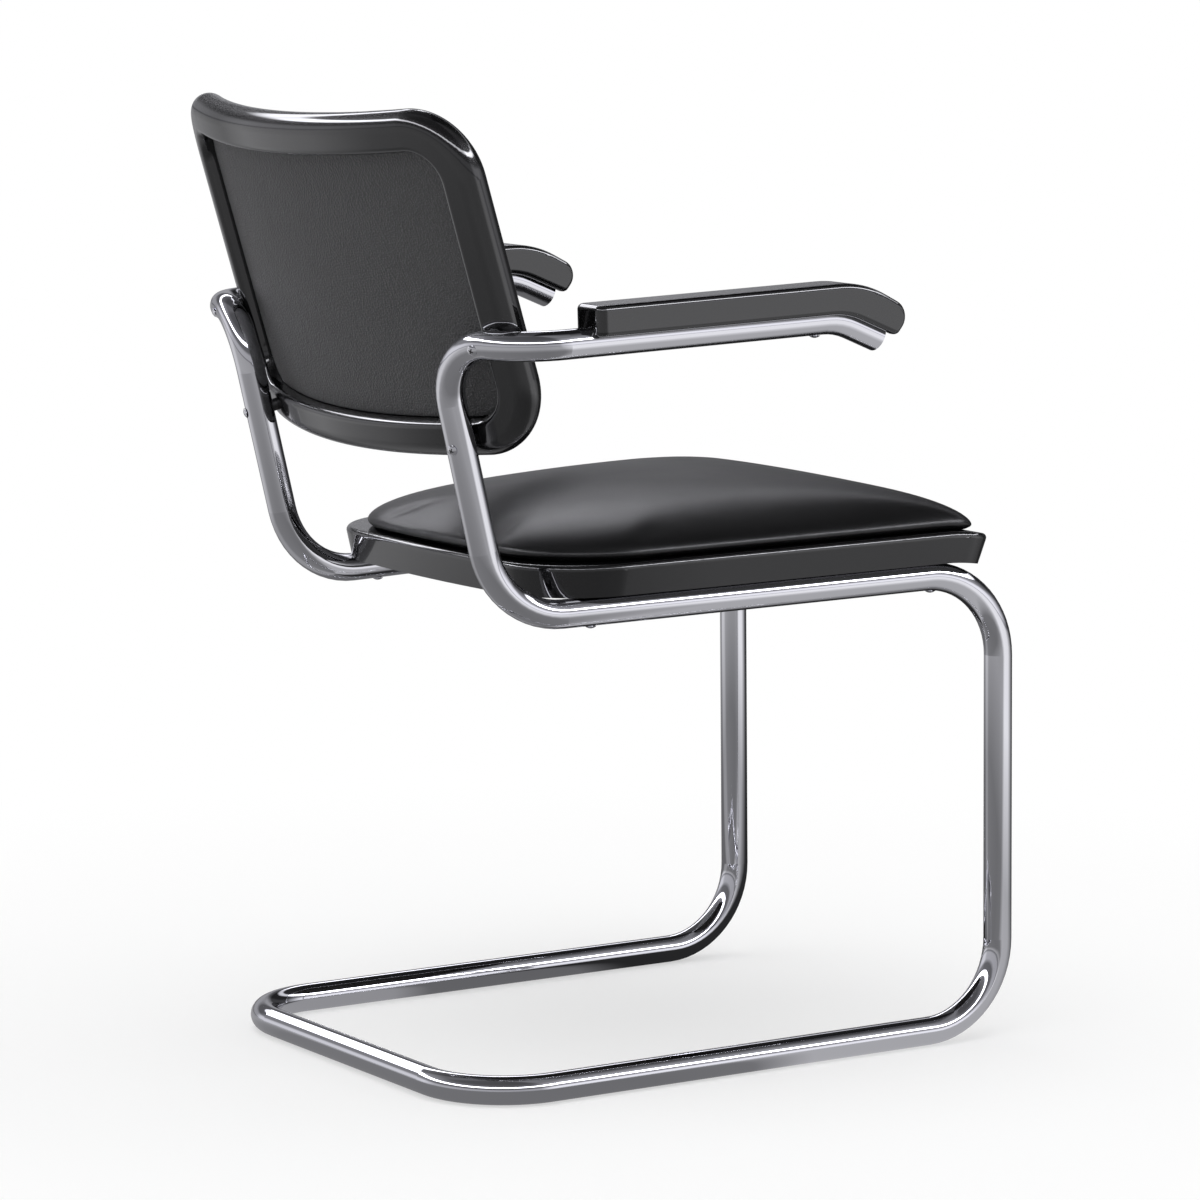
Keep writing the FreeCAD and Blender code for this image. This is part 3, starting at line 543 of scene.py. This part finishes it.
def on_back(across, up, depth):
    """From the back's curved sheet to the chair: a cylinder of back_radius, leaning back."""
    turn = across / back_radius
    reach = back_radius - depth
    ahead = back_radius - reach * np.cos(turn)
    behind = rear_bar_y + back_centre_behind + up * math.sin(back_lean) - ahead * math.cos(back_lean)
    above = back_centre_height + up * math.cos(back_lean) + ahead * math.sin(back_lean)
    return np.stack([reach * np.sin(turn), behind, above], -1)


def behind_back(across, up, out):
    """The same sheet seen from behind, with out measured away from the sitter."""
    return on_back(-across, up, back_leather - out)


def back_ring(inset):
    """The back panel's outline in its unrolled sheet, drawn in by the inset."""
    radius = max(back_corner - back_corner_share * inset, smallest_corner)
    width, height = back_half_width - inset, back_half_height - inset
    return closed_outline((width, width), (-height, height), (0.0, 0.0), (radius, radius))


cushion = padded_form("seat_cushion_leather", seat_ring,
                      foot=(cushion_margin + cushion_tuck, 0.2 * MM),
                      waist=(cushion_margin, cushion_waist), shoulder=(105 * MM, 33 * MM),
                      crown=cushion_height + 2 * MM, place=on_seat)
swell(cushion, pressure=4.0, cap=4 * MM)
smooth_once(cushion)
finish_piece(cushion, "black_leather", "seat_cushion", fill=0.9)

front_pad = padded_form("back_front_leather", back_ring, foot=(1.6 * MM, front_pad_base + 0.1 * MM),
                        waist=(1.6 * MM, front_pad_base + 5 * MM), shoulder=(18 * MM, 10 * MM),
                        crown=front_pad_base + front_pad_depth - 1.5 * MM, place=on_back)
swell(front_pad, pressure=4.0, cap=3 * MM)
smooth_once(front_pad)
finish_piece(front_pad, "black_leather", "back_front_pad", fill=0.8)

rear_skin = padded_form("back_rear_skin", back_ring, foot=(0.6 * MM, 0.0),
                        waist=(0.5 * MM, 0.3 * MM), shoulder=(2.5 * MM, 0.9 * MM),
                        crown=1.6 * MM, place=behind_back)
smooth_once(rear_skin)
finish_piece(rear_skin, "back_leather", "back_rear_leather", fill=0.9)

for piece, skin in ((cushion, seat_leather), (front_pad, seat_leather),
                    (rear_skin, back_leather_skin)):
    piece.data.materials.append(skin)


# Painted shade for the cross recesses in the heads of the back's four screws: black crosses laid on
# the domes

def screw_head(node, side):
    """Middle of a head's flat underside and the screw's direction, from the node's own box."""
    inwards = Vector((-side * math.sin(screw_turn), -math.cos(back_lean) * math.cos(screw_turn),
                      math.sin(back_lean) * math.cos(screw_turn)))
    box_low, box_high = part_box(node)
    across = head_radius * math.sqrt(1 - inwards.x ** 2)
    rise = head_radius * math.sqrt(1 - inwards.z ** 2)
    ahead = dome_radius + (dome_radius - head_height) * inwards.y
    middle = Vector((side * (box_high.x - across), box_high.y - ahead, box_low.z + rise))
    return middle, inwards


def shaded_recess_bar(middle, inwards, turn):
    """Vertices and faces of one bar of a cross of painted shade, wrapped on the head's dome.

    Over the bar's length and width the height is sqrt(radius ** 2 - length ** 2 - width ** 2).
    """
    rows, columns = 9, 3
    run, wide = np.meshgrid(np.linspace(-1, 1, rows) * recess_half_length,
                            np.linspace(-1, 1, columns) * recess_half_width, indexing="ij")
    first = inwards.cross(Vector((0, 0, 1))).normalized()
    second = inwards.cross(first)
    along = np.array(first * math.cos(turn) + second * math.sin(turn))
    over = np.array(second * math.cos(turn) - first * math.sin(turn))
    hub = np.array(middle + inwards * (dome_radius - head_height))
    height = np.sqrt(dome_radius ** 2 - run ** 2 - wide ** 2)
    flat = hub + run[..., None] * along + wide[..., None] * over
    out = -np.array(inwards)
    layers = [flat + (height + lift)[..., None] * out for lift in (recess_lift, -recess_depth)]
    grid = np.arange(rows * columns).reshape(rows, columns)
    top = np.stack([grid[:-1, :-1], grid[1:, :-1], grid[1:, 1:], grid[:-1, 1:]], -1).reshape(-1, 4)
    rim = np.concatenate([grid[:, 0], grid[-1, 1:], grid[:-1, -1][::-1], grid[0, 1:-1]])
    ahead = np.roll(rim, -1)
    wall = np.stack([rim, rim + grid.size, ahead + grid.size, ahead], -1)
    faces = np.vstack([top, top[:, ::-1] + grid.size, wall])
    return np.vstack([layer.reshape(-1, 3) for layer in layers]), faces


bars = [shaded_recess_bar(*screw_head(node, side), turn)
        for node in ("back_lower_screws", "back_upper_screws")
        for side in (-1, 1) for turn in (cross_turn, cross_turn + math.pi / 2)]
bar_faces = [faces + len(points) * k for k, (points, faces) in enumerate(bars)]
recess_shade_crosses = mesh_object("screw_recess_painted_shade", np.vstack([points for points, _ in bars]).tolist(),
                       np.vstack(bar_faces).tolist())
# the black plastic finish paints the shade of the cross recesses on the chrome heads
recess_shade_crosses.data.materials.append(plastic)
turned = bmesh.new()
turned.from_mesh(recess_shade_crosses.data)
bmesh.ops.recalc_face_normals(turned, faces=turned.faces)
turned.to_mesh(recess_shade_crosses.data)
turned.free()
finish_piece(recess_shade_crosses, "chromed_screw")


# Studio: camera, mirrored walls, one soft box overhead and a pale floor

bpy.context.scene.view_settings.view_transform = "Standard"
low, high = cad_box

lens = bpy.data.cameras.new("studio_camera")
lens.lens = focal_length
lens.sensor_width = 36.0
camera = bpy.data.objects.new("studio_camera", lens)
bpy.context.scene.collection.objects.link(camera)
camera.location = camera_from_rear_bar + Vector((0, rear_bar_y, 0))
looking = Vector((math.cos(camera_tilt) * math.cos(camera_turn),
                  -math.cos(camera_tilt) * math.sin(camera_turn), -math.sin(camera_tilt)))
camera.rotation_mode = "QUATERNION"
camera.rotation_quaternion = looking.to_track_quat("-Z", "Y")
bpy.context.scene.camera = camera
lens.clip_start = 0.1
lens.clip_end = 60.0


def ramp_of(tree, source, stops):
    """A colour ramp with (place, grey level) stops."""
    bands = add_node(tree, "ShaderNodeValToRGB", [(source, "Fac")])
    ramp = bands.color_ramp
    while len(ramp.elements) < len(stops):
        ramp.elements.new(0.5)
    for element, (place, level) in zip(ramp.elements, stops):
        element.position = place
        element.color = (level, level, level * cool_tint, 1.0)
    return bands.outputs["Color"]


def walls_around(tree, direction):
    """Grey of the studio walls round the chair, by the turn from the camera's own side.

    The turn is the arc tangent of the direction's parts to the camera's right and towards it.
    """
    parts = []
    for axis in (camera_right, towards_camera):
        dot = add_node(tree, "ShaderNodeVectorMath", [(direction, 0)], operation="DOT_PRODUCT")
        dot.inputs[1].default_value = axis
        parts.append((dot.outputs["Value"], len(parts)))
    turn = add_node(tree, "ShaderNodeMath", parts, operation="ARCTAN2")
    share = add_node(tree, "ShaderNodeMapRange", [(turn.outputs["Value"], "Value")])
    share.inputs["From Min"].default_value = -math.pi
    share.inputs["From Max"].default_value = math.pi
    return ramp_of(tree, share.outputs["Result"], wall_greys)


world = bpy.data.worlds.new("studio_world")
bpy.context.scene.world = world
world.use_nodes = True
tree = world.node_tree
tree.nodes.clear()
room = add_node(tree, "ShaderNodeBackground", Color=linear("#ffffff"), Strength=0.62)
paper = add_node(tree, "ShaderNodeBackground", Color=linear("#ffffff"), Strength=1.0)
heading = add_node(tree, "ShaderNodeTexCoord")
parts_of = add_node(tree, "ShaderNodeSeparateXYZ", [(heading.outputs["Generated"], 0)])
spread = add_node(tree, "ShaderNodeMapRange", [(parts_of.outputs["Z"], "Value")])
spread.inputs["From Min"].default_value = -1.0
shade = add_node(tree, "ShaderNodeVectorMath",
                 [(walls_around(tree, heading.outputs["Generated"]), 0),
                  (ramp_of(tree, spread.outputs["Result"], height_gains), 1)], operation="MULTIPLY")
walls = add_node(tree, "ShaderNodeBackground", [(shade.outputs["Vector"], "Color")],
                 Strength=lamp_gain)
rays = add_node(tree, "ShaderNodeLightPath")
seen = add_node(tree, "ShaderNodeMath", [(rays.outputs["Is Camera Ray"], 0),
                                         (rays.outputs["Is Transmission Ray"], 1)],
                operation="MAXIMUM")
mixed = add_node(tree, "ShaderNodeMixShader", [(seen.outputs["Value"], 0),
                                               (room.outputs[0], 1), (paper.outputs[0], 2)])
mirrored = add_node(tree, "ShaderNodeMixShader", [(rays.outputs["Is Glossy Ray"], 0),
                                                  (mixed.outputs[0], 1), (walls.outputs[0], 2)])
add_node(tree, "ShaderNodeOutputWorld", [(mirrored.outputs[0], "Surface")])


def soft_light(name, place, aim, size, power):
    """A square soft box at a place, turned to a point.

    Shiny pieces mirror only the studio walls, so the box is hidden from their reflections.
    """
    light = bpy.data.lights.new(name, "AREA")
    light.shape = "RECTANGLE"
    light.size, light.size_y = size
    light.energy = power
    box = bpy.data.objects.new(name, light)
    bpy.context.scene.collection.objects.link(box)
    box.location = place
    box.visible_glossy = False
    box.rotation_mode = "QUATERNION"
    box.rotation_quaternion = (Vector(aim) - Vector(place)).to_track_quat("-Z", "Y")
    return box


soft_light("overhead_soft_box", (-0.2, 0.1, 2.6), (0, 0, 0.4), (2.6, 2.6), 42)


def studio_floor():
    """A wide pale disc; its middle keeps the shadow and its rim fades into the white paper.

    Each ring is radius * (cos, sin) of even steps of the turn, at one height.
    """
    angle = np.linspace(0, 2 * np.pi, floor_sides, endpoint=False)
    ground = low.z - floor_below
    around = np.stack([np.cos(angle), np.sin(angle)], -1)
    rings = (floor_radii[:, None, None] * around).reshape(-1, 2)
    points = np.column_stack([np.vstack([[0.0, 0.0], rings]), np.full(len(rings) + 1, ground)])
    index = 1 + np.arange(len(rings)).reshape(len(floor_radii), floor_sides)
    ahead = np.roll(index, -1, axis=1)
    wedges = np.column_stack([np.zeros(floor_sides, int), index[0], ahead[0]])
    bands = np.stack([index[:-1], index[1:], ahead[1:], ahead[:-1]], -1).reshape(-1, 4)
    floor = mesh_object("floor", points.tolist(), wedges.tolist() + bands.tolist())
    material, tree, shader = new_material("pale_floor")
    shader.inputs["Base Color"].default_value = linear("#f6f6f6")
    shader.inputs["Roughness"].default_value = 0.9
    place = add_node(tree, "ShaderNodeTexCoord")
    radius = add_node(tree, "ShaderNodeVectorMath", [(place.outputs["Object"], 0)],
                      operation="LENGTH")
    fade = add_node(tree, "ShaderNodeMapRange", [(radius.outputs["Value"], "Value")],
                    interpolation_type="SMOOTHSTEP")
    fade.inputs["From Min"].default_value = 0.35
    fade.inputs["From Max"].default_value = 1.3
    fade.inputs["To Min"].default_value = 0.55
    glow = add_node(tree, "ShaderNodeEmission", Color=linear("#ffffff"), Strength=1.0)
    direction = add_node(tree, "ShaderNodeTexCoord")
    nearness = add_node(tree, "ShaderNodeMapRange", [(radius.outputs["Value"], "Value")])
    nearness.inputs["From Min"].default_value = 1.0
    nearness.inputs["From Max"].default_value = 2.0
    nearness.inputs["To Min"].default_value = 0.5
    dusk = add_node(tree, "ShaderNodeEmission",
                    [(walls_around(tree, direction.outputs["Object"]), "Color"),
                     (nearness.outputs["Result"], "Strength")])
    rays = add_node(tree, "ShaderNodeLightPath")
    share = add_node(tree, "ShaderNodeMath", [(rays.outputs["Is Camera Ray"], 0),
                                              (fade.outputs["Result"], 1)], operation="MULTIPLY")
    blend = add_node(tree, "ShaderNodeMixShader", [(share.outputs["Value"], 0),
                                                   (shader.outputs[0], 1), (glow.outputs[0], 2)])
    mirrored = add_node(tree, "ShaderNodeMixShader", [(rays.outputs["Is Glossy Ray"], 0),
                                                      (blend.outputs[0], 1), (dusk.outputs[0], 2)])
    output = tree.nodes["Material Output"]
    tree.links.new(mirrored.outputs[0], output.inputs["Surface"])
    floor.data.materials.append(material)


studio_floor()
